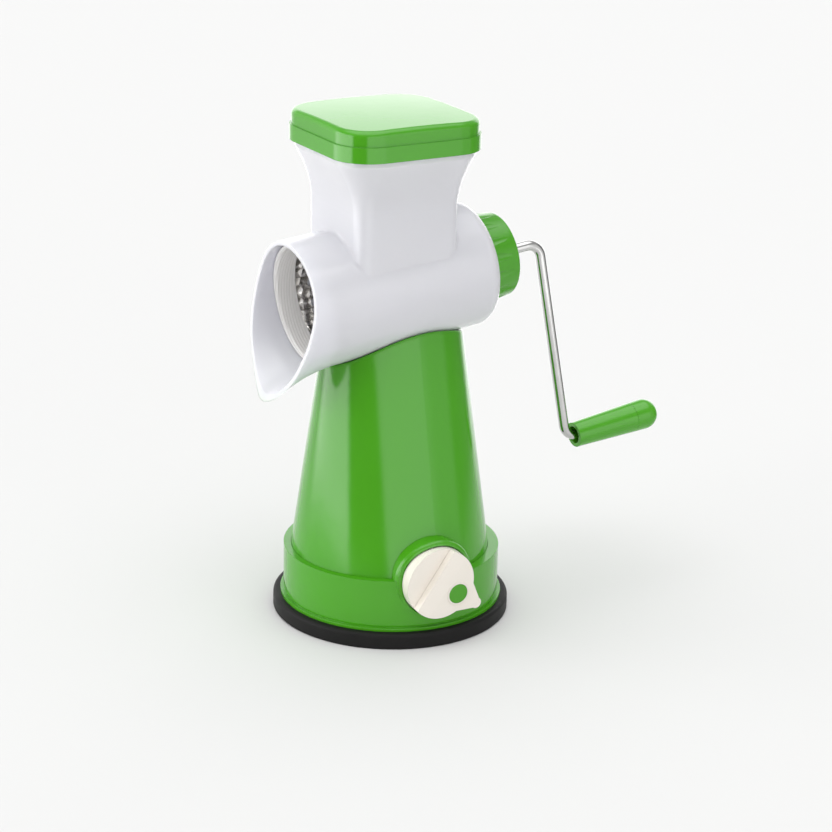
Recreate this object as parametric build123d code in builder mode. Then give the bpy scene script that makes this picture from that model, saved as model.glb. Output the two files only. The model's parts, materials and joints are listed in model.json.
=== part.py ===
from build123d import *
import os
from math import cos, pi, radians, sin, sqrt

# Hand-cranked drum shredder on a suction foot.
# Frame: origin at the centre of the foot on the table, +Z up, the spout faces -Y,
# the crank is at +Y and the suction knob is on the +X side. Millimetres and degrees.
# Along the barrel, a station is a distance from the tower's centre line, positive towards the crank.

# ---------------------------------------------------------------- fits
running_gap = 0.05  # radial gap of a shaft in its bearing
seat_gap = 0.02  # radial gap of a piece fixed in its seat
sliding_gap = 0.4  # gap between mouldings that move past each other
rest_gap = 0.3  # gap between pieces that nearly touch
through = 200.0  # length of a cut that goes right through

# ---------------------------------------------------------------- foot and suction pad
pad_radius = 67.5
pad_rim_height = 9.0
pad_rim_inner_radius = 57.5
pad_web = 4.0
pad_hub_radius = 14.0
pad_hub_height = 9.0
pad_edge_round = 2.0

stem_radius = 4.0
stem_head_radius = 9.0
stem_head_thickness = 2.5
stem_head_bottom = 2.8

# ---------------------------------------------------------------- base collar
collar_radius = 61.6
collar_wall = 2.5
collar_top = 38.4
collar_edge_round = 3.0
collar_lip = 1.8
collar_lip_height = 1.8

plate_bottom = 11.5
plate_thickness = 2.5
plate_gap = 0.2

screw_shank_radius = 1.7
screw_head_radius = 3.2
screw_head_height = 2.2
screw_length = 10.0
screw_pilot_radius = screw_shank_radius + seat_gap
screw_hole_radius = 2.0
boss_radius = 3.6
boss_sink = 0.5
screw_head_round = 1.0

# ---------------------------------------------------------------- tower
tower_foot_radius = 56.4
tower_wall = 2.5
tower_skirt_bottom = 30.0
tower_top = 175.0
tower_top_half_x = 28.2
tower_top_half_y = 40.0
tower_centre_y = -1.0
tower_gap = 0.12
tower_hole_gap = 1.5
saddle_round = 1.4
shelf_level = 131.0
shelf_thickness = 3.0
head_screw_spacing = 34.0
head_post_radius = 5.0

# ---------------------------------------------------------------- barrel, spout and hopper
barrel_level = 193.3
barrel_tilt = 6.45
barrel_front = -50.0
barrel_front_radius = 36.45
barrel_back = 50.0
barrel_back_radius = 35.3
barrel_back_round = 8.0
barrel_wall = 2.3
barrel_end_wall = 3.0

spout_reach = 44.0
spout_drop = 15.5
spout_rim_top_station = -64.0
spout_lip_station = -88.5
spout_lip_depth = 49.0

hopper_centre_y = -8.1
hopper_half = 31.5
hopper_corner = 8.0
hopper_wall = 2.2
hopper_neck_top = 240.0
hopper_flare_top = 268.5
neck_root_round = 2.0
hopper_rim_half = 41.0
hopper_rim_corner = 18.5
hopper_rim_top = 280.0

# ---------------------------------------------------------------- pusher
cover_half = 43.8
cover_corner = 20.9
cover_wall = 2.2
cover_bottom = 271.8
cover_ledge = 280.4
cover_step = 1.0
cover_top = 290.0
cover_crown_radius = 900.0
cover_edge_round = 3.4
cover_fit = 0.5
flange_gap = 0.15
plunger_gap = 0.6
plunger_bottom = 240.0
plunger_wall = 2.0
plunger_flange_thickness = 2.4
plunger_grooves = 6
plunger_groove_pitch = 9.0
plunger_groove_width = 2.0
plunger_groove_depth = 1.0
pusher_screw_offset = 33.6

# ---------------------------------------------------------------- drum
drum_front = -58.7
drum_ring_length = 15.2
drum_back = 38.5
drum_radius = 31.6
drum_sheet = 0.8
drum_ring_radius = 33.3
drum_ring_lip_radius = 32.2
drum_ring_bore_radius = 31.5
drum_hole_radius = 2.6
drum_hole_rows = 8
drum_holes_in_row = 16
drum_ring_seat = 3.0
drum_ring_lead = 1.5
drum_vent_radius = 4.0
drum_vents = 5
drum_hub_plate = 3.0
drum_socket_radius = 11.0
drum_socket_length = 18.0

# ---------------------------------------------------------------- crank
shaft_hex_across = 12.0
shaft_radius = 8.0
shaft_front = 23.0
shaft_tip_chamfer = 0.8
bush_wall = 3.0
bush_flange = 2.0
clip_thickness = 1.2
clip_groove_depth = 1.2
journal_lead = 1.5
clip_width = 3.2
washer_thickness = 1.2
washer_radius = 18.0

hub_radius = 25.3
hub_end_radius = 23.8
hub_back = 67.7
hub_flutes = 16
hub_flute_turn = 7.5
hub_flute_radius = 4.0
hub_flute_depth = 1.0
hub_flute_round = 1.2
hub_round = 2.6

rod_radius = 3.0
rod_socket_depth = 10.0
rod_overrun = 1.0
rod_top_corner = 93.9
rod_bottom_corner = 104.0
crank_reach = 123.5
rod_bend_radius = 8.8

grip_front = 109.8
grip_front_radius = 7.4
grip_seam = 150.4
grip_seam_gap = 0.1
grip_cap_swell = 0.2
grip_seam_radius = 8.8
grip_back = 167.7
grip_mouth_radius = 5.2
grip_mouth_depth = 6.0
grip_wall = 2.2
grip_pocket_depth = 5.5
grip_pocket_radius = 6.4
grip_plug_depth = 2.5
grip_plug_bore = 4.6
star_washer_radius = 5.4
star_washer_thickness = 0.8

# ---------------------------------------------------------------- suction knob and its cam
knob_level = 36.9
knob_azimuth = -4.5
knob_radius = 20.0
knob_face = 68.0
knob_rim_back = 58.8
knob_hub_radius = 8.0
knob_hub_inner = 46.0
knob_pointer_angle = -34.0
knob_bar_half = 4.2
knob_scoop_depth = 4.4
knob_scoop_draft = 0.8
knob_face_wall = 2.0
knob_rim_drop = 0.9
knob_tail_reach = 30.0
knob_tail_tip_radius = 3.2
knob_tail_half = 11.0
knob_tail_root = 15.0
knob_slope_drop = 2.2
inlay_radius = 5.8
inlay_offset = 12.4
inlay_depth = 1.2
inlay_ring_width = 1.0
inlay_ring_height = 0.4
arch_radius = 23.4
arch_rim = 1.5
arch_proud = 0.3  # how far the arch's face stands out of the collar's wall

camshaft_square = 7.0
camshaft_journal_radius = 5.0
camshaft_groove_depth = 0.8
knob_hub_seat = 2.0
camshaft_tip_radius = 3.4
camshaft_tip = -24.4
cam_base_radius = 9.0
cam_thickness = 7.0
cam_steps = 12
cam_heel_radius = 8.6
cam_heel_turn = 40.0
pad_lift = 3.5
knob_turn = 120.0
post_near = 25.0
post_far = -19.0
post_thickness = 6.0
post_half_width = 9.0
post_shoulder = 2.7
post_height_over_axis = 9.0

yoke_thickness = 8.0
yoke_bar = 4.4
yoke_leg = 3.8
yoke_play = 1.2
yoke_drop = 3.9
yoke_corner = 1.0
pin_radius = 1.2

# ---------------------------------------------------------------- places worked out from them
tilt = radians(barrel_tilt)
rearward = Vector(0, cos(tilt), sin(tilt))
upward = Vector(0, -sin(tilt), cos(tilt))
barrel_centre = Vector(0, 0, barrel_level)
barrel_axis = Axis(barrel_centre, rearward)
side_plane = Plane(origin=barrel_centre, x_dir=rearward, z_dir=(1, 0, 0))

azimuth = radians(knob_azimuth)
outward = Vector(cos(azimuth), sin(azimuth), 0)
sideways = Vector(-sin(azimuth), cos(azimuth), 0)
knob_centre = Vector(0, 0, knob_level)
knob_axis = Axis(knob_centre, outward)

pad_seat = pad_rim_height
plate_top = plate_bottom + plate_thickness
collar_inner_radius = collar_radius - collar_wall
arch_face_radius = collar_radius + arch_proud
rear_wall_front = barrel_back - barrel_end_wall
bush_outer_radius = shaft_radius + running_gap + bush_wall
scoop_floor = knob_face - knob_scoop_depth
hub_front = barrel_back + washer_thickness + 2 * rest_gap
knob_recess_radius = knob_radius + 2 * sliding_gap
pin_station = knob_hub_inner + knob_hub_seat + 2 * pin_radius
knob_recess_floor = knob_rim_back - rest_gap
cam_rise = pad_lift / radians(knob_turn)
grip_axis = Axis(barrel_centre - upward * crank_reach, rearward)
grip_plane = Plane(origin=barrel_centre - upward * crank_reach, x_dir=rearward, z_dir=(1, 0, 0))


def barrel_plane(station):
    """The plane square to the barrel at a station, its normal towards the crank."""
    return Plane(origin=barrel_centre + rearward * station, x_dir=(-1, 0, 0), z_dir=rearward)


def knob_plane(distance):
    """The plane square to the knob's axis, that far from the tower's centre line."""
    return Plane(origin=knob_centre + outward * distance, x_dir=sideways, z_dir=outward)


def barrel_radius(station):
    """Outer radius of the slightly tapered barrel."""
    share = (station - barrel_front) / (barrel_back - barrel_front)
    return barrel_front_radius + share * (barrel_back_radius - barrel_front_radius)


def tower_half(level, foot, top):
    """Half size of the tower's outer section at a level."""
    share = (level - collar_top) / (tower_top - collar_top)
    return foot + share * (top - foot)


def tower_section(level, inset):
    """Oval outer section of the tower at a level, drawn in by inset."""
    half_x = tower_half(level, tower_foot_radius, tower_top_half_x) - inset
    half_y = tower_half(level, tower_foot_radius, tower_top_half_y) - inset
    with BuildSketch(Plane.XY.offset(level)) as section:
        with Locations((0, tower_centre_y)):
            Ellipse(half_x, half_y)
    return section.sketch


def barrel_profile(front, back, inset):
    """Half section of the barrel between two stations, drawn in by inset."""
    with BuildSketch(side_plane) as half:
        with BuildLine():
            Polyline(
                (front, 0),
                (front, barrel_radius(front) - inset),
                (back, barrel_radius(back) - inset),
                (back, 0),
                close=True,
            )
        make_face()
    return half.sketch


def spout_section(share, inset):
    """Section of the spout: round above, deeper below, at a share of its reach."""
    station = barrel_front - share * spout_reach
    round_radius = barrel_radius(station) - inset
    depth = round_radius + spout_drop * share**2
    with BuildSketch(barrel_plane(station)) as section:
        with BuildLine():
            CenterArc((0, 0), round_radius, 0, 180)
            EllipticalCenterArc((0, 0), round_radius, depth, 180, arc_size=180)
        make_face()
    return section.sketch


def flare_section(share, inset):
    """Section of the hopper's flare: it starts upright and curls out to the rim."""
    level = hopper_neck_top + share * (hopper_flare_top - hopper_neck_top)
    spread = 1 - cos(share * pi / 2)
    half = hopper_half + spread * (hopper_rim_half - hopper_half) - inset
    corner = hopper_corner + spread * (hopper_rim_corner - hopper_corner) - inset
    with BuildSketch(Plane.XY.offset(level)) as section:
        with Locations((0, hopper_centre_y)):
            RectangleRounded(2 * half, 2 * half, corner)
    return section.sketch


def hopper_section(level, half, corner):
    """Rounded square on the hopper's centre line."""
    with BuildSketch(Plane.XY.offset(level)) as section:
        with Locations((0, hopper_centre_y)):
            RectangleRounded(2 * half, 2 * half, corner)
    return section.sketch


def on_arch_face(edge):
    """Whether an edge lies on the round outer face of the arch over the knob."""
    points = [edge @ share for share in (0, 0.5, 1)]
    return all(abs(sqrt(point.X**2 + point.Y**2) - arch_face_radius) < seat_gap for point in points)


def on_saddle_lip(edge):
    """Whether an edge runs round the outside of the tower's saddle."""
    point = edge @ 0.5
    half_x = tower_half(point.Z, tower_foot_radius, tower_top_half_x)
    half_y = tower_half(point.Z, tower_foot_radius, tower_top_half_y)
    reach = sqrt((point.X / half_x) ** 2 + ((point.Y - tower_centre_y) / half_y) ** 2)
    return point.Z > shelf_level and abs(reach - 1) < 0.01


def on_neck_root(edge):
    """Whether an edge runs round the hopper's neck where it meets the barrel."""
    for share in (0, 0.5, 1):
        offset = edge @ share - barrel_centre
        station = offset.dot(rearward)
        reach = (offset - rearward * station).length
        in_neck = max(abs(offset.X), abs(offset.Y - hopper_centre_y)) < hopper_half + seat_gap
        if not in_neck or offset.Z < 0 or abs(reach - barrel_radius(station)) > seat_gap:
            return False
    return True


def cam_point(turn):
    """Point of the cam that lifts a flat bar by an equal step for each degree of turn."""
    angle = radians(90 - turn)
    reach = cam_base_radius + cam_rise * radians(turn)
    return (
        reach * cos(angle) + cam_rise * sin(angle),
        reach * sin(angle) - cam_rise * cos(angle),
    )


os.makedirs("parts", exist_ok=True)


def save(piece, name):
    """Labels a finished piece and writes it."""
    piece.part.label = name
    export_step(piece.part, "parts/" + name + ".step")


# ---------------------------------------------------------------- suction pad
# One rubber disc: a thick rim that shows round the foot, a thin web and a hub that holds the stem's head.
with BuildPart() as suction_pad:
    with BuildSketch(Plane.XZ):
        with BuildLine():
            Polyline(
                (0, 0),
                (pad_radius, 0),
                (pad_radius, pad_rim_height),
                (pad_rim_inner_radius, pad_rim_height),
                (pad_rim_inner_radius, pad_web),
                (pad_hub_radius, pad_web),
                (pad_hub_radius, pad_hub_height),
                (0, pad_hub_height),
                close=True,
            )
        make_face()
    revolve(axis=Axis.Z)
    with BuildSketch(Plane.XY.offset(stem_head_bottom - rest_gap)):
        Circle(stem_head_radius + rest_gap)
    extrude(amount=stem_head_thickness + 2 * rest_gap, mode=Mode.SUBTRACT)
    with BuildSketch(Plane.XY.offset(stem_head_bottom)):
        Circle(stem_radius + rest_gap)
    extrude(amount=pad_hub_height, mode=Mode.SUBTRACT)
    rim_edges = suction_pad.edges().filter_by(GeomType.CIRCLE).filter_by(
        lambda edge: edge.radius > pad_radius - rest_gap
    )
    fillet(rim_edges.sort_by(Axis.Z)[-1], pad_edge_round)
    chamfer(rim_edges.sort_by(Axis.Z)[0], pad_edge_round / 3)
save(suction_pad, "suction_pad")

# ---------------------------------------------------------------- pad stem
# A headed stud: its head is held in the pad's hub and its top is pinned to the yoke.
yoke_bar_top = knob_level - cam_base_radius - yoke_drop + rest_gap
yoke_bar_bottom = yoke_bar_top - yoke_bar
with BuildPart() as pad_stem:
    with BuildSketch(Plane.XY.offset(stem_head_bottom)):
        Circle(stem_head_radius)
    extrude(amount=stem_head_thickness)
    with BuildSketch(Plane.XY.offset(stem_head_bottom)):
        Circle(stem_radius)
    extrude(amount=yoke_bar_top - stem_head_bottom)
    with BuildSketch(Plane(origin=(0, 0, yoke_bar_top - yoke_bar / 2), x_dir=outward, z_dir=sideways)):
        Circle(pin_radius + seat_gap)
    extrude(amount=through, both=True, mode=Mode.SUBTRACT)
save(pad_stem, "pad_stem")

# ---------------------------------------------------------------- lifting yoke
# A frame round the cam: the cam pushes its top bar up, and its bottom bar pulls the stem.
yoke_half_window = cam_base_radius + pad_lift + yoke_play
with BuildPart() as lift_yoke:
    window_top = knob_level + cam_base_radius + rest_gap
    with BuildSketch(Plane(origin=(0, 0, 0), x_dir=sideways, z_dir=outward)):
        with BuildLine():
            Polyline(
                (-yoke_half_window - yoke_leg, yoke_bar_bottom),
                (yoke_half_window + yoke_leg, yoke_bar_bottom),
                (yoke_half_window + yoke_leg, window_top + yoke_bar),
                (-yoke_half_window - yoke_leg, window_top + yoke_bar),
                close=True,
            )
        make_face()
        with BuildLine():
            Polyline(
                (-yoke_half_window, yoke_bar_top),
                (yoke_half_window, yoke_bar_top),
                (yoke_half_window, window_top),
                (-yoke_half_window, window_top),
                close=True,
            )
        make_face(mode=Mode.SUBTRACT)
    extrude(amount=yoke_thickness / 2, both=True)
    fillet(lift_yoke.edges().filter_by(knob_axis), yoke_corner)
    with BuildSketch(Plane.XY.offset(yoke_bar_bottom)):
        Circle(stem_radius + seat_gap)
    extrude(amount=yoke_bar, mode=Mode.SUBTRACT)
    with BuildSketch(Plane(origin=(0, 0, yoke_bar_top - yoke_bar / 2), x_dir=outward, z_dir=sideways)):
        Circle(pin_radius + seat_gap)
    extrude(amount=through, both=True, mode=Mode.SUBTRACT)
save(lift_yoke, "lift_yoke")

with BuildPart() as yoke_pin:
    with BuildSketch(Plane(origin=(0, 0, yoke_bar_top - yoke_bar / 2), x_dir=outward, z_dir=sideways)):
        Circle(pin_radius)
    extrude(amount=yoke_half_window, both=True)
save(yoke_pin, "yoke_pin")

# ---------------------------------------------------------------- camshaft, cam and clip
camshaft_groove = post_far - post_thickness / 2 - rest_gap - star_washer_thickness
with BuildPart() as camshaft:
    with BuildSketch(knob_plane(camshaft_tip)):
        Circle(camshaft_tip_radius)
    extrude(amount=-camshaft_tip)
    with BuildSketch(knob_plane(-cam_thickness / 2 - rest_gap)):
        Rectangle(camshaft_square, camshaft_square)
    extrude(amount=scoop_floor - knob_face_wall - rest_gap + cam_thickness / 2 + rest_gap)
    with BuildSketch(knob_plane(cam_thickness / 2 + rest_gap)):
        Circle(camshaft_journal_radius)
    extrude(amount=knob_hub_inner + knob_hub_seat - cam_thickness / 2 - rest_gap)
    with BuildSketch(knob_plane(camshaft_groove)):
        Circle(camshaft_tip_radius)
        Circle(camshaft_tip_radius - camshaft_groove_depth, mode=Mode.SUBTRACT)
    extrude(amount=star_washer_thickness, mode=Mode.SUBTRACT)
    with BuildSketch(Plane(origin=knob_centre + outward * pin_station, x_dir=outward, z_dir=sideways)):
        Circle(pin_radius + seat_gap)
    extrude(amount=through, both=True, mode=Mode.SUBTRACT)
save(camshaft, "camshaft")

# Its edge is the curve whose lift is even, closed by a round heel.
with BuildPart() as lift_cam:
    with BuildSketch(knob_plane(-cam_thickness / 2)):
        with BuildLine():
            lobe = Spline([cam_point(knob_turn * step / cam_steps) for step in range(-1, cam_steps + 2)])
            heel = Vector(-cam_heel_radius, 0).rotate(Axis.Z, cam_heel_turn)
            ThreePointArc(lobe @ 1, heel, lobe @ 0)
        make_face()
        Rectangle(camshaft_square + 2 * seat_gap, camshaft_square + 2 * seat_gap, mode=Mode.SUBTRACT)
    extrude(amount=cam_thickness)
save(lift_cam, "lift_cam")

with BuildPart() as camshaft_clip:
    with BuildSketch(knob_plane(camshaft_groove + seat_gap)):
        Circle(star_washer_radius)
        Circle(camshaft_tip_radius - camshaft_groove_depth + seat_gap, mode=Mode.SUBTRACT)
    extrude(amount=star_washer_thickness - 2 * seat_gap)
save(camshaft_clip, "camshaft_clip")

# ---------------------------------------------------------------- mounting plate
# Closes the foot, guides the stem and carries the camshaft on two posts.
tower_screw_radius = tower_foot_radius - tower_wall - boss_radius + boss_sink
collar_screw_radius = collar_inner_radius - screw_head_radius - rest_gap
collar_boss_radius = screw_head_radius + 3 * rest_gap
with BuildPart() as mounting_plate:
    with BuildSketch(Plane.XY.offset(plate_bottom)):
        Circle(collar_inner_radius - plate_gap)
    extrude(amount=plate_thickness)
    with BuildSketch(Plane.XY.offset(plate_bottom)):
        Circle(2 * stem_radius)
    extrude(amount=yoke_bar_bottom - rest_gap - plate_bottom)
    for post in (post_near, post_far):
        with BuildSketch(knob_plane(post - post_thickness / 2)):
            with BuildLine():
                Polyline(
                    (-post_half_width, plate_top - knob_level),
                    (post_half_width, plate_top - knob_level),
                    (post_half_width, 0),
                    (post_half_width - post_shoulder, post_height_over_axis),
                    (post_shoulder - post_half_width, post_height_over_axis),
                    (-post_half_width, 0),
                    close=True,
                )
            make_face()
        extrude(amount=post_thickness)
    with BuildSketch(knob_plane(0)):
        Circle(camshaft_journal_radius + running_gap)
    extrude(amount=through, mode=Mode.SUBTRACT)
    with BuildSketch(knob_plane(0)):
        Circle(camshaft_tip_radius + running_gap)
    extrude(amount=-through, mode=Mode.SUBTRACT)
    with BuildSketch(Plane.XY.offset(plate_bottom)):
        Circle(stem_radius + running_gap)
        with Locations((0, tower_centre_y)), PolarLocations(tower_screw_radius, 4, start_angle=45):
            Circle(screw_hole_radius)
        with PolarLocations(collar_screw_radius, 3, start_angle=90, angular_range=180, endpoint=True):
            Circle(screw_hole_radius)
    extrude(amount=through, mode=Mode.SUBTRACT)
save(mounting_plate, "mounting_plate")

with BuildPart() as base_screws:
    with BuildSketch(Plane.XY.offset(plate_bottom)):
        with Locations((0, tower_centre_y)), PolarLocations(tower_screw_radius, 4, start_angle=45):
            Circle(screw_head_radius)
        with PolarLocations(collar_screw_radius, 3, start_angle=90, angular_range=180, endpoint=True):
            Circle(screw_head_radius)
    extrude(amount=-screw_head_height)
    fillet(base_screws.faces().group_by(Axis.Z)[0].edges(), screw_head_round)
    with BuildSketch(Plane.XY.offset(plate_bottom)):
        with Locations((0, tower_centre_y)), PolarLocations(tower_screw_radius, 4, start_angle=45):
            Circle(screw_shank_radius)
        with PolarLocations(collar_screw_radius, 3, start_angle=90, angular_range=180, endpoint=True):
            Circle(screw_shank_radius)
    extrude(amount=screw_length)
save(base_screws, "base_screws")

# ---------------------------------------------------------------- base collar
# A ring round the tower's foot. Its wall rises in an arch round the knob, with a sunk round floor.
with BuildPart() as base_collar:
    with BuildSketch(knob_plane(0)):
        Circle(arch_radius)
    extrude(amount=through)
    with BuildSketch(Plane.XY):
        Circle(arch_face_radius)
    extrude(amount=through, mode=Mode.INTERSECT)
    fillet(base_collar.edges().filter_by(on_arch_face), collar_edge_round)
    with BuildSketch(Plane.XZ) as collar_half:
        with Locations((-collar_radius / 2, (pad_seat + collar_top) / 2)):
            Rectangle(collar_radius, collar_top - pad_seat)
        fillet(collar_half.vertices().group_by(Axis.X)[0].sort_by(Axis.Z)[-1], collar_edge_round)
    revolve(axis=Axis.Z)
    with BuildSketch(Plane.XY.offset(pad_seat)):
        Circle(collar_inner_radius)
    extrude(amount=collar_top - collar_wall - pad_seat, mode=Mode.SUBTRACT)
    with BuildSketch(knob_plane(0)):
        Circle(knob_recess_radius + arch_rim)
    extrude(amount=knob_recess_floor)
    with BuildSketch(Plane.XY):
        with Locations((0, tower_centre_y)):
            Circle(tower_foot_radius + tower_gap)
    extrude(amount=collar_top, mode=Mode.SUBTRACT)
    loft(
        [tower_section(collar_top, -tower_gap), tower_section(tower_top, -tower_gap)],
        mode=Mode.SUBTRACT,
    )
    with BuildSketch(Plane.XY.offset(pad_seat)):
        Circle(collar_radius + collar_lip)
        Circle(collar_radius - rest_gap, mode=Mode.SUBTRACT)
    extrude(amount=collar_lip_height)
    with BuildSketch(Plane.XY.offset(plate_top)):
        with PolarLocations(collar_screw_radius, 3, start_angle=90, angular_range=180, endpoint=True):
            Circle(collar_boss_radius)
    extrude(amount=tower_skirt_bottom - rest_gap - plate_top)
    with BuildSketch(Plane.XY.offset(plate_top)):
        with PolarLocations(collar_screw_radius, 3, start_angle=90, angular_range=180, endpoint=True):
            Circle(screw_pilot_radius)
    extrude(amount=screw_length, mode=Mode.SUBTRACT)
    with BuildSketch(knob_plane(knob_recess_floor)):
        Circle(knob_recess_radius)
    extrude(amount=through, mode=Mode.SUBTRACT)
    with BuildSketch(knob_plane(0)):
        Circle(knob_hub_radius + running_gap)
    extrude(amount=through, mode=Mode.SUBTRACT)
save(base_collar, "base_collar")

# ---------------------------------------------------------------- tower
# A hollow body, round at the foot and oval at the top, cut to a saddle under the barrel.
with BuildPart() as tower_shell:
    loft([tower_section(collar_top, 0), tower_section(tower_top, 0)])
    with BuildSketch(Plane.XY.offset(tower_skirt_bottom)):
        with Locations((0, tower_centre_y)):
            Circle(tower_foot_radius)
    extrude(amount=collar_top - tower_skirt_bottom)
    loft(
        [tower_section(collar_top, tower_wall), tower_section(tower_top + rest_gap, tower_wall)],
        mode=Mode.SUBTRACT,
    )
    with BuildSketch(Plane.XY.offset(tower_skirt_bottom)):
        with Locations((0, tower_centre_y)):
            Circle(tower_foot_radius - tower_wall)
    extrude(amount=collar_top - tower_skirt_bottom, mode=Mode.SUBTRACT)
    shelf_bottom_section = tower_section(shelf_level, tower_wall / 2)
    shelf_top_section = tower_section(shelf_level + shelf_thickness, tower_wall / 2)
    loft([shelf_bottom_section, shelf_top_section])
    with BuildSketch(Plane.XY.offset(plate_top)):
        with Locations((0, tower_centre_y)), PolarLocations(tower_screw_radius, 4, start_angle=45):
            Circle(boss_radius)
    extrude(amount=collar_top - plate_top)
    with BuildSketch(Plane.XY.offset(plate_top)):
        with Locations((0, tower_centre_y)), PolarLocations(tower_screw_radius, 4, start_angle=45):
            Circle(screw_pilot_radius)
    extrude(amount=screw_length, mode=Mode.SUBTRACT)
    with BuildSketch(Plane.XY.offset(shelf_level)):
        with GridLocations(0, head_screw_spacing, 1, 2):
            Circle(screw_hole_radius)
    extrude(amount=shelf_thickness, mode=Mode.SUBTRACT)
    with BuildSketch(knob_plane(0)):
        Circle(knob_hub_radius + tower_hole_gap)
    extrude(amount=through, mode=Mode.SUBTRACT)
    barrel_bed = barrel_profile(2 * barrel_front, 2 * barrel_back, -rest_gap)
    revolve(barrel_bed, axis=barrel_axis, mode=Mode.SUBTRACT)
    fillet(tower_shell.edges().filter_by(on_saddle_lip), saddle_round)
save(tower_shell, "tower_shell")

with BuildPart() as head_screws:
    with BuildSketch(Plane.XY.offset(shelf_level)):
        with GridLocations(0, head_screw_spacing, 1, 2):
            Circle(screw_head_radius)
    extrude(amount=-screw_head_height)
    with BuildSketch(Plane.XY.offset(shelf_level)):
        with GridLocations(0, head_screw_spacing, 1, 2):
            Circle(screw_shank_radius)
    extrude(amount=shelf_thickness + screw_length)
save(head_screws, "head_screws")

# ---------------------------------------------------------------- head housing
# One white moulding: barrel, spout, hopper and the two posts that the head screws grip.
spout_shares = (0, 0.35, 0.7, 1.0)
flare_shares = (0, 0.3, 0.55, 0.8, 1.0)
with BuildPart() as head_housing:
    revolve(barrel_profile(barrel_front, barrel_back, 0), axis=barrel_axis)
    back_edge = head_housing.edges().filter_by(GeomType.CIRCLE).sort_by(barrel_axis)[-1]
    fillet(back_edge, barrel_back_round)
    loft([spout_section(share, 0) for share in spout_shares])
    extrude(hopper_section(barrel_level, hopper_half, hopper_corner), amount=hopper_neck_top - barrel_level)
    loft([flare_section(share, 0) for share in flare_shares])
    extrude(
        hopper_section(hopper_flare_top, hopper_rim_half, hopper_rim_corner),
        amount=hopper_rim_top - hopper_flare_top,
    )
    fillet(head_housing.edges().filter_by(on_neck_root), neck_root_round)
    with BuildSketch(Plane.XY.offset(shelf_level + shelf_thickness)):
        with GridLocations(0, head_screw_spacing, 1, 2):
            Circle(head_post_radius)
    extrude(amount=barrel_level - barrel_front_radius / 2 - shelf_level - shelf_thickness)
    revolve(barrel_profile(barrel_front, rear_wall_front, barrel_wall), axis=barrel_axis, mode=Mode.SUBTRACT)
    loft([spout_section(share, barrel_wall) for share in spout_shares], mode=Mode.SUBTRACT)
    extrude(
        hopper_section(barrel_level, hopper_half - hopper_wall, hopper_corner - hopper_wall),
        amount=hopper_neck_top - barrel_level,
        mode=Mode.SUBTRACT,
    )
    loft([flare_section(share, hopper_wall) for share in flare_shares], mode=Mode.SUBTRACT)
    extrude(
        hopper_section(hopper_flare_top, hopper_rim_half - hopper_wall, hopper_rim_corner - hopper_wall),
        amount=hopper_rim_top - hopper_flare_top,
        mode=Mode.SUBTRACT,
    )
    with BuildSketch(Plane.XY.offset(shelf_level)):
        with GridLocations(0, head_screw_spacing, 1, 2):
            Circle(screw_pilot_radius)
    extrude(amount=shelf_thickness + screw_length + rest_gap, mode=Mode.SUBTRACT)
    with BuildSketch(barrel_plane(rear_wall_front)):
        Circle(bush_outer_radius + seat_gap)
    extrude(amount=barrel_end_wall, mode=Mode.SUBTRACT)
    with BuildSketch(side_plane):
        with BuildLine():
            rim_curve = Spline(
                (spout_rim_top_station, barrel_front_radius + 4),
                (spout_rim_top_station - 3.9, 6),
                (spout_rim_top_station - 12.6, -21),
                (spout_lip_station, -spout_lip_depth),
                tangents=[(0, -1), (-0.62, -0.78)],
            )
            Polyline(
                rim_curve @ 1,
                (spout_lip_station, -2 * spout_lip_depth),
                (2 * spout_lip_station, -2 * spout_lip_depth),
                (2 * spout_lip_station, barrel_front_radius + 4),
                rim_curve @ 0,
            )
        make_face()
    extrude(amount=through, both=True, mode=Mode.SUBTRACT)
save(head_housing, "head_housing")

# ---------------------------------------------------------------- rear bush, washer and clip
with BuildPart() as rear_bush:
    with BuildSketch(barrel_plane(rear_wall_front - bush_flange)):
        Circle(bush_outer_radius + bush_flange)
        Circle(shaft_radius + running_gap, mode=Mode.SUBTRACT)
    extrude(amount=bush_flange)
    with BuildSketch(barrel_plane(rear_wall_front)):
        Circle(bush_outer_radius)
        Circle(shaft_radius + running_gap, mode=Mode.SUBTRACT)
    extrude(amount=barrel_end_wall)
save(rear_bush, "rear_bush")

with BuildPart() as thrust_washer:
    with BuildSketch(barrel_plane(barrel_back + rest_gap)):
        Circle(washer_radius)
        Circle(shaft_radius + running_gap, mode=Mode.SUBTRACT)
    extrude(amount=washer_thickness)
save(thrust_washer, "thrust_washer")

clip_station = rear_wall_front - bush_flange - rest_gap - clip_thickness
clip_groove_radius = shaft_radius - clip_groove_depth
with BuildPart() as shaft_clip:
    with BuildSketch(barrel_plane(clip_station + seat_gap)):
        Circle(clip_groove_radius + clip_width)
        Circle(clip_groove_radius + seat_gap, mode=Mode.SUBTRACT)
        with Locations((0, -clip_groove_radius - clip_width)):
            Rectangle(clip_groove_radius, 2 * clip_groove_radius, mode=Mode.SUBTRACT)
    extrude(amount=clip_thickness - 2 * seat_gap)
save(shaft_clip, "shaft_clip")

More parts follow.
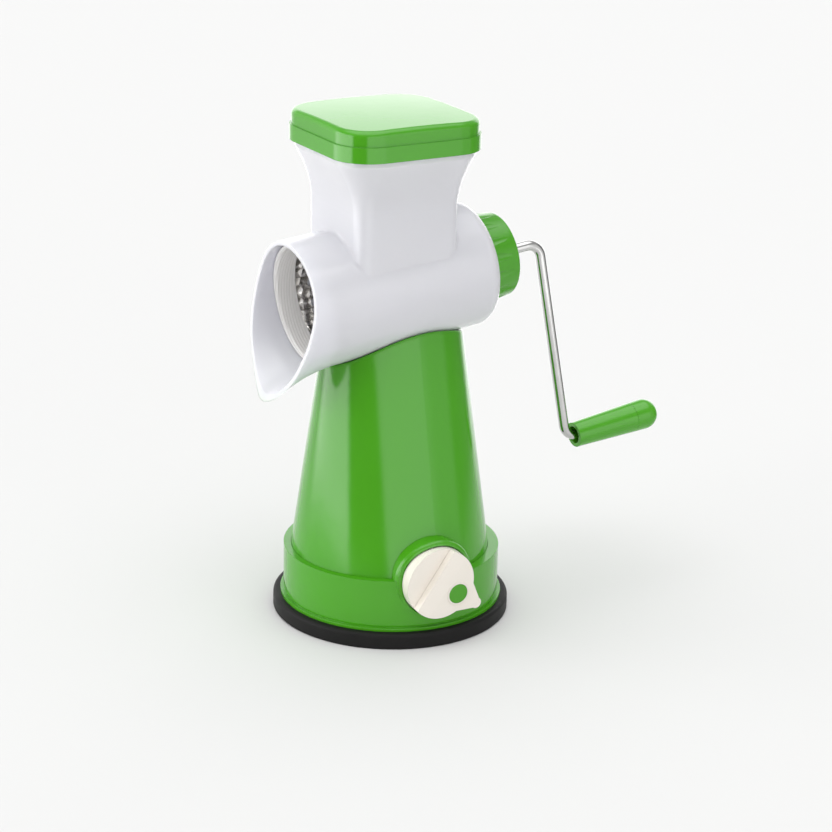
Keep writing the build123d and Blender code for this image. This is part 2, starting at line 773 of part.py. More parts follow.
# ---------------------------------------------------------------- drive shaft
# A hexagon for the drum, a round journal for the bush, and a round tail fixed in the crank hub.
shaft_back = hub_back - rod_socket_depth
with BuildPart() as drive_shaft:
    with BuildSketch(barrel_plane(shaft_front)):
        RegularPolygon(shaft_hex_across / 2, 6, major_radius=False)
    extrude(amount=clip_station - shaft_front)
    chamfer(drive_shaft.faces().sort_by(barrel_axis)[0].edges(), shaft_tip_chamfer)
    with BuildSketch(barrel_plane(clip_station - journal_lead)):
        Circle(shaft_radius)
    extrude(amount=shaft_back - clip_station + journal_lead)
    with BuildSketch(barrel_plane(clip_station)):
        Circle(shaft_radius)
        Circle(clip_groove_radius, mode=Mode.SUBTRACT)
    extrude(amount=clip_thickness, mode=Mode.SUBTRACT)
save(drive_shaft, "drive_shaft")

# ---------------------------------------------------------------- drum
# A punched steel sleeve between a front ring and a rear hub. It draws out through the spout.
ring_back = drum_front + drum_ring_length
row_pitch = (drum_back - drum_hub_plate - ring_back) / (drum_hole_rows + 0.5)
with BuildPart() as drum_sleeve:
    with BuildSketch(barrel_plane(ring_back - drum_ring_seat)):
        Circle(drum_radius)
        Circle(drum_radius - drum_sheet, mode=Mode.SUBTRACT)
    extrude(amount=drum_back - ring_back + drum_ring_seat)
    punches = []
    for row in range(drum_hole_rows):
        station = ring_back + (row + 0.75) * row_pitch
        for place in range(drum_holes_in_row):
            turn = 2 * pi * (place + 0.5 * (row % 2)) / drum_holes_in_row
            radial = Vector(cos(turn), 0, 0) + upward * sin(turn)
            foot = barrel_centre + rearward * station + radial * (drum_radius - drum_sheet / 2)
            punches.append(Plane(origin=foot, x_dir=rearward, z_dir=radial).location)
    with Locations(*punches):
        Cylinder(drum_hole_radius, 4 * drum_sheet, mode=Mode.SUBTRACT)
save(drum_sleeve, "drum_sleeve")

with BuildPart() as drum_front_ring:
    with BuildSketch(side_plane):
        with BuildLine():
            Polyline(
                (drum_front, drum_ring_lip_radius),
                (drum_front, drum_ring_radius),
                (ring_back, drum_ring_radius),
                (ring_back, drum_radius + seat_gap),
                (ring_back - drum_ring_seat, drum_radius + seat_gap),
                (ring_back - drum_ring_seat, drum_radius - drum_sheet),
                (drum_front + drum_ring_lead, drum_ring_bore_radius),
                close=True,
            )
        make_face()
    revolve(axis=barrel_axis)
save(drum_front_ring, "drum_front_ring")

with BuildPart() as drum_hub:
    with BuildSketch(barrel_plane(drum_back - drum_hub_plate)):
        Circle(drum_radius - drum_sheet - seat_gap)
    extrude(amount=drum_hub_plate)
    with BuildSketch(barrel_plane(drum_back - drum_socket_length)):
        Circle(drum_socket_radius)
    extrude(amount=drum_socket_length)
    with BuildSketch(barrel_plane(drum_back - drum_socket_length)):
        RegularPolygon(shaft_hex_across / 2 + running_gap, 6, major_radius=False)
    extrude(amount=drum_socket_length, mode=Mode.SUBTRACT)
    with BuildSketch(barrel_plane(drum_back - drum_hub_plate)):
        with PolarLocations((drum_radius + drum_socket_radius) / 2, drum_vents):
            Circle(drum_vent_radius)
    extrude(amount=drum_hub_plate, mode=Mode.SUBTRACT)
save(drum_hub, "drum_hub")

# ---------------------------------------------------------------- crank hub
flute_ring = hub_radius - hub_flute_depth + hub_flute_radius
with BuildPart() as crank_hub:
    with BuildSketch(barrel_plane(hub_front)) as hub_outline:
        Circle(hub_radius)
        with PolarLocations(flute_ring, hub_flutes, start_angle=hub_flute_turn):
            Circle(hub_flute_radius, mode=Mode.SUBTRACT)
        fillet(hub_outline.vertices(), hub_flute_round)
    extrude(amount=hub_back - hub_front)
    with BuildSketch(side_plane) as hub_turning:
        with BuildLine():
            Polyline(
                (hub_front, 0),
                (hub_front, hub_radius),
                (hub_back, hub_end_radius),
                (hub_back, 0),
                close=True,
            )
        make_face()
        fillet(hub_turning.vertices().sort_by_distance(barrel_centre)[-1], hub_round)
    revolve(axis=barrel_axis, mode=Mode.INTERSECT)
    with BuildSketch(barrel_plane(hub_front)):
        Circle(shaft_radius + seat_gap)
    extrude(amount=shaft_back - hub_front, mode=Mode.SUBTRACT)
    with BuildSketch(barrel_plane(shaft_back)):
        Circle(rod_radius + seat_gap)
    extrude(amount=rod_socket_depth, mode=Mode.SUBTRACT)
save(crank_hub, "crank_hub")

# ---------------------------------------------------------------- crank rod
rod_end = grip_seam - grip_plug_depth + rod_overrun
with BuildPart() as crank_rod:
    with BuildLine(side_plane) as rod_path:
        FilletPolyline(
            (shaft_back, 0),
            (rod_top_corner, 0),
            (rod_bottom_corner, -crank_reach),
            (rod_end, -crank_reach),
            radius=rod_bend_radius,
        )
    with BuildSketch(barrel_plane(shaft_back)):
        Circle(rod_radius)
    sweep()
save(crank_rod, "crank_rod")

# ---------------------------------------------------------------- grip, its star washer and its cap
bearing_front = grip_front + grip_mouth_depth
bearing_back = grip_seam - grip_pocket_depth
with BuildPart() as crank_grip:
    with BuildSketch(grip_plane):
        with BuildLine():
            Polyline(
                (grip_front, grip_mouth_radius),
                (grip_front, grip_front_radius),
                (grip_seam, grip_seam_radius),
                (grip_seam, grip_pocket_radius),
                (bearing_back, grip_pocket_radius),
                (bearing_back, rod_radius + running_gap),
                (bearing_front, rod_radius + running_gap),
                (bearing_front, grip_mouth_radius),
                close=True,
            )
        make_face()
    revolve(axis=grip_axis)
save(crank_grip, "crank_grip")

with BuildPart() as grip_washer:
    with BuildSketch(barrel_plane(bearing_back + rest_gap)):
        with Locations((0, -crank_reach)):
            Circle(star_washer_radius)
            Circle(rod_radius + seat_gap, mode=Mode.SUBTRACT)
    extrude(amount=star_washer_thickness)
save(grip_washer, "grip_washer")

cap_dome = grip_seam_radius + grip_cap_swell
with BuildPart() as grip_cap:
    with BuildSketch(grip_plane):
        with BuildLine():
            seam_top = (grip_seam + grip_seam_gap, grip_seam_radius)
            dome_start = (grip_back - cap_dome, cap_dome)
            dome_end = (grip_back, 0)
            Line(seam_top, dome_start)
            dome = RadiusArc(dome_start, dome_end, cap_dome)
            Polyline(
                dome_end,
                (grip_back - grip_wall, 0),
                (grip_seam + grip_wall, grip_plug_bore),
                (grip_seam - grip_plug_depth, grip_plug_bore),
                (grip_seam - grip_plug_depth, grip_pocket_radius - seat_gap),
                (grip_seam + grip_seam_gap, grip_pocket_radius - seat_gap),
                seam_top,
            )
        make_face()
    revolve(axis=grip_axis)
save(grip_cap, "grip_cap")

# ---------------------------------------------------------------- pusher
# A crowned cover with two stepped bands, and a hollow plunger that reaches down the hopper.
flange_top = hopper_rim_top + plunger_flange_thickness
plunger_half = hopper_half - hopper_wall - plunger_gap
plunger_corner = hopper_corner - hopper_wall - plunger_gap
plunger_floor = plunger_bottom + plunger_wall + plunger_groove_depth
cover_underside = cover_top - 2 * cover_wall
cover_inset = cover_step + cover_wall
cover_bore_half = hopper_rim_half + cover_fit
cover_bore_corner = hopper_rim_corner + cover_fit / 2
pusher_screw_places = [
    (pusher_screw_offset, hopper_centre_y),
    (-pusher_screw_offset, hopper_centre_y),
    (0, hopper_centre_y + pusher_screw_offset),
    (0, hopper_centre_y - pusher_screw_offset),
]
with BuildPart() as pusher_cover:
    extrude(hopper_section(cover_bottom, cover_half, cover_corner), amount=cover_ledge - cover_bottom)
    extrude(
        hopper_section(cover_bottom, cover_half - cover_step, cover_corner - cover_step),
        amount=cover_top - cover_bottom,
    )
    with Locations((0, hopper_centre_y, cover_top - cover_crown_radius)):
        Sphere(cover_crown_radius, mode=Mode.INTERSECT)
    fillet(pusher_cover.faces().sort_by(Axis.Z)[-1].edges(), cover_edge_round)
    extrude(
        hopper_section(cover_bottom, cover_bore_half, cover_bore_corner),
        amount=flange_top - cover_bottom,
        mode=Mode.SUBTRACT,
    )
    extrude(
        hopper_section(flange_top, cover_half - cover_inset, cover_corner - cover_inset),
        amount=cover_underside - flange_top,
        mode=Mode.SUBTRACT,
    )
    with BuildSketch(Plane.XY.offset(flange_top)):
        with Locations(*pusher_screw_places):
            Circle(boss_radius)
    extrude(amount=cover_underside - flange_top)
    with BuildSketch(Plane.XY.offset(flange_top)):
        with Locations(*pusher_screw_places):
            Circle(screw_pilot_radius)
    extrude(amount=cover_underside - flange_top, mode=Mode.SUBTRACT)
save(pusher_cover, "pusher_cover")

with BuildPart() as pusher_plunger:
    extrude(
        hopper_section(hopper_rim_top, cover_bore_half - flange_gap, cover_bore_corner - flange_gap),
        amount=plunger_flange_thickness,
    )
    extrude(hopper_section(plunger_bottom, plunger_half, plunger_corner), amount=flange_top - plunger_bottom)
    extrude(
        hopper_section(plunger_floor, plunger_half - plunger_wall, plunger_corner - plunger_wall),
        amount=flange_top - plunger_floor,
        mode=Mode.SUBTRACT,
    )
    with BuildSketch(Plane.XY.offset(plunger_bottom)):
        with Locations((0, hopper_centre_y)):
            with GridLocations(plunger_groove_pitch, 0, plunger_grooves, 1):
                Rectangle(plunger_groove_width, 3 * plunger_half)
            with GridLocations(0, plunger_groove_pitch, 1, plunger_grooves):
                Rectangle(3 * plunger_half, plunger_groove_width)
    extrude(amount=plunger_groove_depth, mode=Mode.SUBTRACT)
    with BuildSketch(Plane.XY.offset(hopper_rim_top)):
        with Locations(*pusher_screw_places):
            Circle(screw_hole_radius)
    extrude(amount=plunger_flange_thickness, mode=Mode.SUBTRACT)
save(pusher_plunger, "pusher_plunger")

with BuildPart() as pusher_screws:
    with BuildSketch(Plane.XY.offset(hopper_rim_top)):
        with Locations(*pusher_screw_places):
            Circle(screw_head_radius)
    extrude(amount=-screw_head_height)
    with BuildSketch(Plane.XY.offset(hopper_rim_top)):
        with Locations(*pusher_screw_places):
            Circle(screw_shank_radius)
    extrude(amount=cover_underside - hopper_rim_top - rest_gap)
save(pusher_screws, "pusher_screws")

# ---------------------------------------------------------------- suction knob
# A round knob: a scoop and a gentle slope leave a grip bar between them, and the slope runs on
# into a pointing tail with a round inlay.
pointer = radians(knob_pointer_angle)
pointing = sideways * cos(pointer) + Vector(0, 0, 1) * sin(pointer)
along_bar = outward.cross(pointing)


def pointer_plane(distance):
    """The plane square to the knob's axis, its x axis along the pointer."""
    return Plane(origin=knob_centre + outward * distance, x_dir=pointing, z_dir=outward)


rim_level = knob_face - knob_rim_drop
tail_back = arch_face_radius + sliding_gap
slope_run = knob_tail_reach - knob_bar_half
knob_side_plane = Plane(origin=knob_centre, x_dir=pointing, z_dir=pointing.cross(outward))
down_slope = (pointing * slope_run - outward * knob_slope_drop).normalized()
inlay_share = (inlay_offset - knob_bar_half) / slope_run
inlay_centre = knob_centre + pointing * inlay_offset + outward * (knob_face - inlay_share * knob_slope_drop)
inlay_plane = Plane(origin=inlay_centre, x_dir=down_slope, z_dir=down_slope.cross(along_bar))
with BuildPart() as suction_knob:
    with BuildSketch(pointer_plane(knob_rim_back)):
        Circle(knob_radius)
    extrude(amount=knob_face - knob_rim_back)
    with BuildSketch(pointer_plane(tail_back)):
        with BuildLine():
            tail_top = (knob_tail_reach - knob_tail_tip_radius, knob_tail_tip_radius)
            tail_bottom = (knob_tail_reach - knob_tail_tip_radius, -knob_tail_tip_radius)
            root_top = (knob_tail_root, knob_tail_half)
            root_bottom = (knob_tail_root, -knob_tail_half)
            Polyline(tail_bottom, root_bottom, root_top, tail_top)
            ThreePointArc(tail_top, (knob_tail_reach, 0), tail_bottom)
        make_face()
    extrude(amount=knob_face - tail_back)
    with BuildSketch(knob_side_plane):
        with BuildLine():
            Polyline(
                (knob_bar_half, knob_face),
                (knob_tail_reach, knob_face - knob_slope_drop),
                (knob_tail_reach + 1, knob_face - knob_slope_drop),
                (knob_tail_reach + 1, knob_face + 1),
                (knob_bar_half, knob_face + 1),
                close=True,
            )
        make_face()
        with BuildLine():
            Polyline(
                (-knob_bar_half, knob_face + 1),
                (-knob_bar_half - knob_scoop_draft, scoop_floor),
                (-knob_radius, rim_level),
                (-knob_radius - 1, rim_level),
                (-knob_radius - 1, knob_face + 1),
                close=True,
            )
        make_face()
    extrude(amount=2 * knob_radius, both=True, mode=Mode.SUBTRACT)
    with BuildSketch(inlay_plane.offset(-inlay_depth)):
        Circle(inlay_radius + inlay_ring_width)
    extrude(amount=inlay_depth + inlay_ring_height)
    with BuildSketch(inlay_plane.offset(-inlay_depth)):
        Circle(inlay_radius + seat_gap)
    extrude(amount=inlay_depth + inlay_ring_height, mode=Mode.SUBTRACT)
    with BuildSketch(pointer_plane(knob_hub_inner)):
        Circle(knob_hub_radius)
    extrude(amount=knob_rim_back - knob_hub_inner)
    with BuildSketch(pointer_plane(knob_hub_inner)):
        Circle(camshaft_journal_radius + seat_gap)
    extrude(amount=knob_hub_seat + seat_gap, mode=Mode.SUBTRACT)
    with BuildSketch(knob_plane(knob_hub_inner)):
        Rectangle(camshaft_square + 2 * seat_gap, camshaft_square + 2 * seat_gap)
    extrude(amount=scoop_floor - knob_face_wall - knob_hub_inner, mode=Mode.SUBTRACT)
    with BuildSketch(Plane(origin=knob_centre + outward * pin_station, x_dir=outward, z_dir=sideways)):
        Circle(pin_radius + seat_gap)
    extrude(amount=through, both=True, mode=Mode.SUBTRACT)
save(suction_knob, "suction_knob")

with BuildPart() as knob_pin:
    with BuildSketch(Plane(origin=knob_centre + outward * pin_station, x_dir=outward, z_dir=sideways)):
        Circle(pin_radius)
    extrude(amount=knob_hub_radius - rest_gap, both=True)
save(knob_pin, "knob_pin")

# ---------------------------------------------------------------- knob inlay
with BuildPart() as knob_inlay:
    with BuildSketch(inlay_plane.offset(-inlay_depth)):
        Circle(inlay_radius)
    extrude(amount=inlay_depth + inlay_ring_height / 2)
save(knob_inlay, "knob_inlay")
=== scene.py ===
# %% [markdown]
# # A hand-cranked drum grater, as it stands in its product photograph
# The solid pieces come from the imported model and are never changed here. This notebook gives each one
# its material, sets a pale studio round it and puts the camera where the photograph was taken from.

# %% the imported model
import bpy
import bmesh
import json
from math import cos, pi, radians, sin
from mathutils import Matrix, Vector

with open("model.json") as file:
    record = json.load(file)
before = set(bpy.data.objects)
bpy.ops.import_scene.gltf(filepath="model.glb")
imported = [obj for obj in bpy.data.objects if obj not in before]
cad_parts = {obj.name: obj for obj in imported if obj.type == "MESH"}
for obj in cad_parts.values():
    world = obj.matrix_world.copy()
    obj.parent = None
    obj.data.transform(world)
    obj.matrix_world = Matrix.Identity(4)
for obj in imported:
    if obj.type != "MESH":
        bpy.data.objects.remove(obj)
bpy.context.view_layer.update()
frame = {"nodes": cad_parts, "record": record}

# %% [markdown]
# ## Small helpers for writing shaders
# Every material below is a short list of nodes and links. They could be written out with Blender's own
# calls each time, but these helpers keep the lists readable: one adds a node with its values set on its own
# sockets, one links two sockets by name or by place, and one starts a node group with its sockets.

# %% shader helpers
def add(tree, kind, values=None, **settings):
    node = tree.nodes.new(kind)
    for name, value in settings.items():
        setattr(node, name, value)
    for name, value in (values or {}).items():
        node.inputs[name].default_value = value
    return node


def wire(tree, source, output, target, name):
    tree.links.new(source.outputs[output], target.inputs[name])


def spread(low, high, new_low, new_high):
    return {"From Min": low, "From Max": high, "To Min": new_low, "To Max": new_high}


def new_group(name, inputs, outputs):
    group = bpy.data.node_groups.new(name, "ShaderNodeTree")
    for label, kind, value in inputs:
        socket = group.interface.new_socket(label, in_out="INPUT", socket_type=kind)
        if value is not None:
            socket.default_value = value
    for label, kind in outputs:
        group.interface.new_socket(label, in_out="OUTPUT", socket_type=kind)
    return group


# %% [markdown]
# ## Moulded skin
# Injection-moulded plastic is never perfectly even: the tool leaves a very fine texture, the flow of the
# melt leaves broad soft changes of shade, and handling leaves small patches that shine a little less.
# One group makes these for every plastic. It gives a shade to multiply the colour by, a change of
# roughness and a height for the bump.

# %% the moulded skin group
skin = new_group(
    "moulded_skin",
    [
        ("Flow", "NodeSocketFloat", 9.0),
        ("Handling", "NodeSocketFloat", 45.0),
        ("Texture", "NodeSocketFloat", 1800.0),
    ],
    [("Shade", "NodeSocketFloat"), ("Roughness", "NodeSocketFloat"), ("Height", "NodeSocketFloat")],
)
skin_in = add(skin, "NodeGroupInput")
skin_out = add(skin, "NodeGroupOutput")
skin_place = add(skin, "ShaderNodeTexCoord")
skin_flow = add(skin, "ShaderNodeTexNoise", {"Detail": 2.0, "Roughness": 0.45})
skin_hand = add(skin, "ShaderNodeTexNoise", {"Detail": 5.0, "Roughness": 0.6})
skin_fine = add(skin, "ShaderNodeTexNoise", {"Detail": 2.0, "Roughness": 0.5})
skin_shade = add(skin, "ShaderNodeMapRange", spread(0.3, 0.7, 0.95, 1.05))
skin_rough = add(skin, "ShaderNodeMapRange", spread(0.35, 0.75, -0.02, 0.05))
for texture, scale in ((skin_flow, "Flow"), (skin_hand, "Handling"), (skin_fine, "Texture")):
    wire(skin, skin_place, "Object", texture, "Vector")
    wire(skin, skin_in, scale, texture, "Scale")
wire(skin, skin_flow, "Fac", skin_shade, "Value")
wire(skin, skin_hand, "Fac", skin_rough, "Value")
wire(skin, skin_shade, "Result", skin_out, "Shade")
wire(skin, skin_rough, "Result", skin_out, "Roughness")
wire(skin, skin_fine, "Fac", skin_out, "Height")
print("group", skin.name)

# %% [markdown]
# ## Glossy mouldings
# The green, the cool white and the warm white pieces share one recipe. Their edges are softened by the
# bevel node, because a moulded edge always has a small radius that catches the light. The cool white lets a
# little light through its thin walls, so the inside of the spout isn't dark.

# %% plastic materials
def plastic(name, colour, roughness, edge=0.0005, texture=0.00002, glow=0.0):
    material = bpy.data.materials.new(name)
    material.use_nodes = True
    tree = material.node_tree
    shader = tree.nodes["Principled BSDF"]
    shader.inputs["IOR"].default_value = 1.5
    shader.inputs["Subsurface Weight"].default_value = 1.0 if glow else 0.0
    shader.inputs["Subsurface Radius"].default_value = (1.0, 1.0, 1.0)
    shader.inputs["Subsurface Scale"].default_value = glow
    grain = add(tree, "ShaderNodeGroup", node_tree=skin)
    tint = add(tree, "ShaderNodeHueSaturation", {"Color": (*colour, 1)})
    rough = add(tree, "ShaderNodeMath", {0: roughness}, operation="ADD")
    bevel = add(tree, "ShaderNodeBevel", {"Radius": edge}, samples=4)
    bump = add(tree, "ShaderNodeBump", {"Strength": 0.35, "Distance": texture})
    wire(tree, grain, "Shade", tint, "Value")
    wire(tree, tint, "Color", shader, "Base Color")
    wire(tree, grain, "Roughness", rough, 1)
    wire(tree, rough, "Value", shader, "Roughness")
    wire(tree, grain, "Height", bump, "Height")
    wire(tree, bevel, "Normal", bump, "Normal")
    wire(tree, bump, "Normal", shader, "Normal")
    return material


looks = {
    "green_plastic": plastic("green_plastic", (0.063, 0.328, 0.009), 0.13),
    "white_plastic": plastic("white_plastic", (0.69, 0.690, 0.728), 0.15, glow=0.004),
    "knob_plastic": plastic("knob_plastic", (0.88, 0.825, 0.75), 0.3),
    "grey_nylon": plastic("grey_nylon", (0.55, 0.56, 0.55), 0.45),
}
print("plastics", list(looks))

# %% [markdown]
# ## Turned lines on the drum's ring
# The white ring at the drum's open end has fine turned lines round its bore. Cut into the mesh, they would
# take thousands of faces, so they are a second bump, laid over the plastic's own. The helper does this to
# any finished material. A wave texture draws the lines: at a scale of 1 its bands are pi / 10 wide, so the
# scale is that width divided by the real distance from line to line.

# %% turned lines
def emboss(material, pattern, height, strength, depth):
    tree = material.node_tree
    shader = tree.nodes["Principled BSDF"]
    place = add(tree, "ShaderNodeTexCoord")
    bump = add(tree, "ShaderNodeBump", {"Strength": strength, "Distance": depth})
    wire(tree, place, "Object", pattern, "Vector")
    wire(tree, pattern, height, bump, "Height")
    tree.links.new(shader.inputs["Normal"].links[0].from_socket, bump.inputs["Normal"])
    wire(tree, bump, "Normal", shader, "Normal")


line_pitch = 0.0016
band_width = pi / 10
ringed = plastic("ringed_white", (0.90, 0.885, 0.87), 0.2)
wave = {"Scale": band_width / line_pitch, "Distortion": 0.4}
lines = add(ringed.node_tree, "ShaderNodeTexWave", wave, bands_direction="Y")
emboss(ringed, lines, "Fac", strength=0.6, depth=0.0002)
looks["ringed_white"] = ringed
print("turned lines every", line_pitch)

# %% [markdown]
# ## Rubber
# The foot is matt black rubber with a fine grain and a bloom of paler dust in broad patches. A flat black
# would hide its round rim, so one noise changes both the shade and the shine, and a finer one gives grain.

# %% rubber material
rubber = bpy.data.materials.new("black_rubber")
rubber.use_nodes = True
tree = rubber.node_tree
shader = tree.nodes["Principled BSDF"]
shader.inputs["Specular IOR Level"].default_value = 0.22
place = add(tree, "ShaderNodeTexCoord")
dust = add(tree, "ShaderNodeTexNoise", {"Scale": 30.0, "Detail": 6.0, "Roughness": 0.65})
grain = add(tree, "ShaderNodeTexNoise", {"Scale": 2500.0, "Detail": 3.0})
shade = add(tree, "ShaderNodeValToRGB")
shade.color_ramp.elements[0].position = 0.35
shade.color_ramp.elements[0].color = (0.004, 0.004, 0.004, 1)
shade.color_ramp.elements[1].position = 0.8
shade.color_ramp.elements[1].color = (0.012, 0.011, 0.011, 1)
rough = add(tree, "ShaderNodeMapRange", spread(0.3, 0.7, 0.5, 0.66))
bump = add(tree, "ShaderNodeBump", {"Strength": 0.6, "Distance": 0.00005})
for texture in (dust, grain):
    wire(tree, place, "Object", texture, "Vector")
wire(tree, dust, "Fac", shade, "Fac")
wire(tree, shade, "Color", shader, "Base Color")
wire(tree, dust, "Fac", rough, "Value")
wire(tree, rough, "Result", shader, "Roughness")
wire(tree, grain, "Fac", bump, "Height")
wire(tree, bump, "Normal", shader, "Normal")
looks["black_rubber"] = rubber
print("rubber", rubber.name)

# %% [markdown]
# ## Scratched skin of steel
# Steel that was drawn, rolled or plated is never an even mirror: its shade and its shine change in small
# patches, and fine scratches run through them. All three come from one noise, which the stretch can draw
# out along an axis. Every steel here uses this, so it is a group, as the moulded skin is, and the roughness
# that goes in is that of the smoothest patches.

# %% the scratched skin group
scratched = new_group(
    "scratched_skin",
    [("Stretch", "NodeSocketVector", (1.0, 1.0, 1.0)), ("Roughness", "NodeSocketFloat", 0.2)],
    [("Shade", "NodeSocketFloat"), ("Roughness", "NodeSocketFloat"), ("Height", "NodeSocketFloat")],
)
steel_in = add(scratched, "NodeGroupInput")
steel_out = add(scratched, "NodeGroupOutput")
steel_place = add(scratched, "ShaderNodeTexCoord")
steel_along = add(scratched, "ShaderNodeMapping")
steel_marks = add(scratched, "ShaderNodeTexNoise", {"Scale": 60.0, "Detail": 4.0, "Roughness": 0.6})
steel_shade = add(scratched, "ShaderNodeMapRange", spread(0.3, 0.7, 0.9, 1.06))
steel_dull = add(scratched, "ShaderNodeMapRange", spread(0.3, 0.7, 1.0, 1.5))
steel_rough = add(scratched, "ShaderNodeMath", operation="MULTIPLY")
wire(scratched, steel_place, "Object", steel_along, "Vector")
wire(scratched, steel_in, "Stretch", steel_along, "Scale")
wire(scratched, steel_along, "Vector", steel_marks, "Vector")
for change in (steel_shade, steel_dull):
    wire(scratched, steel_marks, "Fac", change, "Value")
wire(scratched, steel_dull, "Result", steel_rough, 0)
wire(scratched, steel_in, "Roughness", steel_rough, 1)
wire(scratched, steel_shade, "Result", steel_out, "Shade")
wire(scratched, steel_rough, "Value", steel_out, "Roughness")
wire(scratched, steel_marks, "Fac", steel_out, "Height")
print("group", scratched.name)

# %% [markdown]
# ## Steel
# Three steels share one recipe: a metal colour, the scratched skin and a softened edge. The chrome rod is
# the smoothest, the drum is brushed sheet and the screws and shafts are plain zinc-plated steel. The drum
# also gets the pressed grain of its sheet between the punched holes, which breaks its reflections up. Cells
# of a Voronoi texture stand for that grain, embossed as the ring's lines are.

# %% steel materials
def steel(name, colour, roughness, stretch, scratch):
    material = bpy.data.materials.new(name)
    material.use_nodes = True
    tree = material.node_tree
    shader = tree.nodes["Principled BSDF"]
    shader.inputs["Metallic"].default_value = 1.0
    marks = add(tree, "ShaderNodeGroup", {"Stretch": stretch, "Roughness": roughness}, node_tree=scratched)
    tone = add(tree, "ShaderNodeHueSaturation", {"Color": (*colour, 1)})
    bevel = add(tree, "ShaderNodeBevel", {"Radius": 0.0002}, samples=4)
    bump = add(tree, "ShaderNodeBump", {"Strength": scratch, "Distance": 0.00002})
    wire(tree, marks, "Shade", tone, "Value")
    wire(tree, tone, "Color", shader, "Base Color")
    wire(tree, marks, "Roughness", shader, "Roughness")
    wire(tree, marks, "Height", bump, "Height")
    wire(tree, bevel, "Normal", bump, "Normal")
    wire(tree, bump, "Normal", shader, "Normal")
    return material


looks["chrome_steel"] = steel("chrome_steel", (0.60, 0.60, 0.59), 0.07, (1, 1, 1), 0.05)
looks["plain_steel"] = steel("plain_steel", (0.55, 0.56, 0.58), 0.25, (3, 3, 3), 0.3)
drum_steel = steel("drum_steel", (0.80, 0.78, 0.75), 0.16, (1, 8, 1), 0.4)
cells = add(drum_steel.node_tree, "ShaderNodeTexVoronoi", {"Scale": 170.0, "Randomness": 0.35})
emboss(drum_steel, cells, "Distance", strength=1.0, depth=0.003)
looks["drum_steel"] = drum_steel
print("looks", list(looks))

# %% [markdown]
# ## Dressing the pieces
# The record says which material slot each node belongs to, and the slots carry the same names here. Only
# the drum's front ring differs: it takes the ringed white, which has fine turned lines round its bore.

# %% materials onto nodes
slot_of = {piece["node"]: piece["material_slot"] for piece in frame["record"]["subparts"]}
look_of = dict(slot_of, drum_front_ring="ringed_white")
for name, piece in frame["nodes"].items():
    piece.data.materials.clear()
    piece.data.materials.append(looks[look_of[name]])
print("dressed", len(slot_of))

# %% [markdown]
# ## Floor
# A large round white sheet fills the picture. It is matt, so it takes a soft shadow. A sheet this large would
# also be mirrored in the tower and hide the light panels there. So in reflections only its middle shows,
# as if it were a small table.

# %% floor
floor_radius = 14.0
floor_mesh = bpy.data.meshes.new("floor")
sheet = bmesh.new()
bmesh.ops.create_circle(sheet, cap_ends=True, segments=96, radius=floor_radius)
sheet.to_mesh(floor_mesh)
sheet.free()
floor = bpy.data.objects.new("floor", floor_mesh)
bpy.context.scene.collection.objects.link(floor)
paper = bpy.data.materials.new("white_paper")
paper.use_nodes = True
tree = paper.node_tree
shader = tree.nodes["Principled BSDF"]
shader.inputs["Base Color"].default_value = (0.70, 0.70, 0.697, 1)
shader.inputs["Roughness"].default_value = 0.9
shader.inputs["Specular IOR Level"].default_value = 0.1
place = add(tree, "ShaderNodeTexCoord")
reach = add(tree, "ShaderNodeVectorMath", operation="LENGTH")
far = add(tree, "ShaderNodeMapRange", spread(0.22, 0.6, 0.0, 1.0), interpolation_type="SMOOTHSTEP")
path = add(tree, "ShaderNodeLightPath")
mirrored = add(tree, "ShaderNodeMath", operation="MULTIPLY")
clear = add(tree, "ShaderNodeBsdfTransparent")
choice = add(tree, "ShaderNodeMixShader")
wire(tree, place, "Object", reach, "Vector")
wire(tree, reach, "Value", far, "Value")
wire(tree, far, "Result", mirrored, 0)
wire(tree, path, "Is Glossy Ray", mirrored, 1)
wire(tree, mirrored, "Value", choice, "Fac")
wire(tree, shader, "BSDF", choice, 1)
wire(tree, clear, "BSDF", choice, 2)
wire(tree, choice, "Shader", tree.nodes["Material Output"], "Surface")
floor_mesh.materials.append(paper)
print("floor", len(floor_mesh.polygons))

# %% [markdown]
# ## Studio light
# The light is all in the surroundings, as in a light tent. The brightest panel stands low on the spout's
# side, weaker ones stand on the right and behind the object, and a soft one hangs overhead. The gap between
# the first two gives the dark upright band that the photograph shows on the tower. Rays from the camera see
# plain white.

# %% surroundings
brightest = 5.0
world = bpy.data.worlds.new("light_tent")
bpy.context.scene.world = world
world.use_nodes = True
tree = world.node_tree
tree.nodes.clear()
place = add(tree, "ShaderNodeTexCoord")
parts = add(tree, "ShaderNodeSeparateXYZ")
turn = add(tree, "ShaderNodeMath", operation="ARCTAN2")
share = add(tree, "ShaderNodeMapRange", spread(-pi, pi, 0.0, 1.0))
ring = add(tree, "ShaderNodeValToRGB")
panels = [(-180, 1.6), (-150, 1.3), (-138, 4.7), (-78, 4.7), (-72, 0.2), (-33, 0.2), (-27, 2.4), (24, 2.4),
          (36, 1.2), (60, 1.0), (68, 0.3), (108, 0.3), (116, 2.4), (160, 2.4)]
ring.color_ramp.elements.remove(ring.color_ramp.elements[0])
for index, (angle, light) in enumerate(panels):
    position = (angle + 180) / 360
    stop = ring.color_ramp.elements[0] if index == 0 else ring.color_ramp.elements.new(position)
    stop.position = position
    stop.color = (light / brightest, light / brightest, light / brightest, 1)
low = add(tree, "ShaderNodeMath", {1: brightest}, operation="MULTIPLY")
high = add(tree, "ShaderNodeMapRange", spread(0.7, 0.9, 0.6, 2.9), interpolation_type="SMOOTHSTEP")
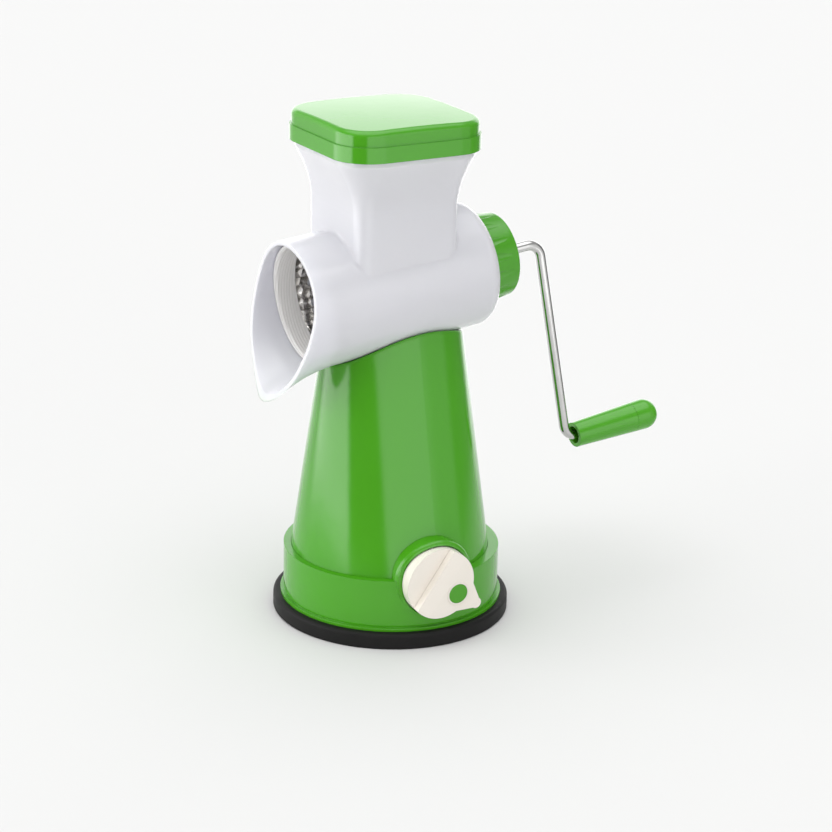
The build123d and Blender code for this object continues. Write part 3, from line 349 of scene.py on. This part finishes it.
rise = add(tree, "ShaderNodeMapRange", spread(0.32, 0.52, 0.0, 1.0), interpolation_type="SMOOTHSTEP")
both = add(tree, "ShaderNodeMix", data_type="FLOAT")
path = add(tree, "ShaderNodeLightPath")
tent = add(tree, "ShaderNodeBackground")
white = add(tree, "ShaderNodeBackground", {"Color": (0.95, 0.95, 0.95, 1)})
choice = add(tree, "ShaderNodeMixShader")
out = add(tree, "ShaderNodeOutputWorld")
wire(tree, place, "Generated", parts, "Vector")
wire(tree, parts, "Y", turn, 0)
wire(tree, parts, "X", turn, 1)
wire(tree, turn, "Value", share, "Value")
wire(tree, share, "Result", ring, "Fac")
wire(tree, ring, "Color", low, 0)
wire(tree, parts, "Z", high, "Value")
wire(tree, parts, "Z", rise, "Value")
wire(tree, rise, "Result", both, "Factor")
wire(tree, low, "Value", both, "A")
wire(tree, high, "Result", both, "B")
wire(tree, both, "Result", tent, "Strength")
wire(tree, path, "Is Camera Ray", choice, "Fac")
wire(tree, tent, "Background", choice, 1)
wire(tree, white, "Background", choice, 2)
wire(tree, choice, "Shader", out, "Surface")
print("panels", len(panels))

# %% [markdown]
# ## Camera
# The camera was fitted to the photograph: it looks from the spout's right, a little from above, through
# a long lens, and is turned by about one degree.

# %% camera
azimuth, elevation, roll = radians(60.03), radians(19.1), radians(1.14)
distance = 1.4
target = Vector((0.0065, 0.0112, 0.114))
back = Vector((sin(azimuth) * cos(elevation), -cos(azimuth) * cos(elevation), sin(elevation)))
level = Vector((cos(azimuth), sin(azimuth), 0))
steep = back.cross(level)
right = level * cos(roll) + steep * sin(roll)
up = steep * cos(roll) - level * sin(roll)
camera = bpy.data.objects.new("camera", bpy.data.cameras.new("camera"))
bpy.context.scene.collection.objects.link(camera)
camera.data.sensor_width = 36
camera.data.lens = 107.34
camera.data.clip_end = 60
facing = Matrix((right, up, back)).transposed().to_4x4()
camera.matrix_world = Matrix.Translation(target + back * distance) @ facing
bpy.context.scene.camera = camera
bpy.context.scene.view_settings.view_transform = "Standard"
print("camera at", tuple(round(v, 3) for v in camera.matrix_world.translation))
